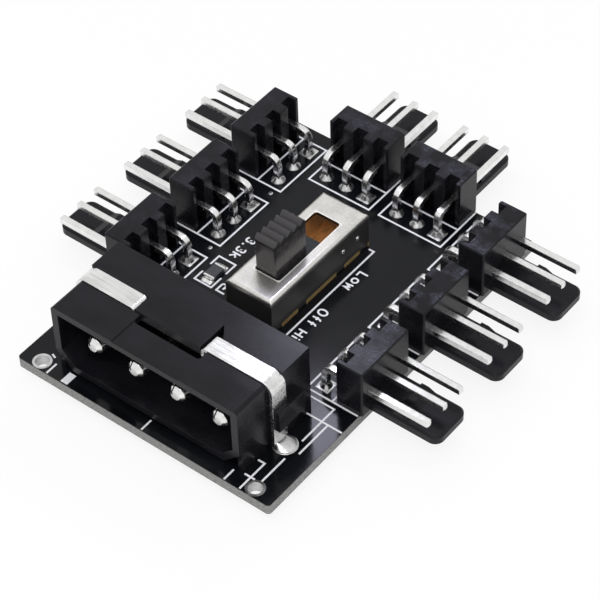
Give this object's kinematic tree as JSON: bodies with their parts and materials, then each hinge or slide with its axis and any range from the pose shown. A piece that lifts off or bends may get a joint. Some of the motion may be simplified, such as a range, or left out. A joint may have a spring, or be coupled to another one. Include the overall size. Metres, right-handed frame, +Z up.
{
  "type": "pc fan controller hub",
  "caption": "Small black circuit board with a keyed power inlet, a slide switch for fan speed and right-angle fan headers along three edges.",
  "frame": {"origin": "midway between the two front corner holes, on the board's underside", "axes": "+X along the front edge to the right as seen from the inlet's mouth, +Y from the inlet to the back edge, +Z up out of the component side"},
  "size_m": [0.0474, 0.0507, 0.0113],
  "materials": {
    "board_mask": "black semi-gloss solder mask",
    "black_plastic": "moulded black, satin",
    "tin_pin": "bright tin plate",
    "strap_metal": "bright tin plate, brushed",
    "nickel_cover": "satin nickel plate",
    "brown_insulator": "brown laminate",
    "dark_knob": "moulded dark, satin",
    "contact_metal": "plated",
    "chip_ceramic": "dark glaze",
    "tin_cap": "bright tin plate",
    "solder": "shiny solder and plated copper",
    "white_print": "white board print"
  },
  "bodies": {
    "hub": {"chip_end_cap_1": "tin_cap", "chip_end_cap_2": "tin_cap", "chip_resistor_body": "chip_ceramic", "circuit_board": "board_mask", "fan_header_back_1": "black_plastic", "fan_header_back_2": "black_plastic", "fan_header_left_1": "black_plastic", "fan_header_left_2": "black_plastic", "fan_header_left_3": "black_plastic", "fan_header_right_1": "black_plastic", "fan_header_right_2": "black_plastic", "fan_header_right_3": "black_plastic", "fan_pin_back_1_1": "tin_pin", "fan_pin_back_1_2": "tin_pin", "fan_pin_back_1_3": "tin_pin", "fan_pin_back_2_1": "tin_pin", "fan_pin_back_2_2": "tin_pin", "fan_pin_back_2_3": "tin_pin", "fan_pin_left_1_1": "tin_pin", "fan_pin_left_1_2": "tin_pin", "fan_pin_left_1_3": "tin_pin", "fan_pin_left_2_1": "tin_pin", "fan_pin_left_2_2": "tin_pin", "fan_pin_left_2_3": "tin_pin", "fan_pin_left_3_1": "tin_pin", "fan_pin_left_3_2": "tin_pin", "fan_pin_left_3_3": "tin_pin", "fan_pin_right_1_1": "tin_pin", "fan_pin_right_1_2": "tin_pin", "fan_pin_right_1_3": "tin_pin", "fan_pin_right_2_1": "tin_pin", "fan_pin_right_2_2": "tin_pin", "fan_pin_right_2_3": "tin_pin", "fan_pin_right_3_1": "tin_pin", "fan_pin_right_3_2": "tin_pin", "fan_pin_right_3_3": "tin_pin", "hold_down_strap_left": "strap_metal", "hold_down_strap_right": "strap_metal", "power_inlet_housing": "black_plastic", "power_pin_1": "tin_pin", "power_pin_2": "tin_pin", "power_pin_3": "tin_pin", "power_pin_4": "tin_pin", "switch_base": "brown_insulator", "switch_cover": "nickel_cover", "switch_terminal_1": "contact_metal", "switch_terminal_2": "contact_metal", "switch_terminal_3": "contact_metal", "switch_terminal_4": "contact_metal"},
    "slider": {"switch_knob": "dark_knob", "switch_contact": "contact_metal"}
  },
  "joints": [
    {"name": "switch_slide", "type": "slide", "parent": "hub", "child": "slider", "axis": [0, 1, 0], "range_m": [0, 0.0046]}
  ]
}
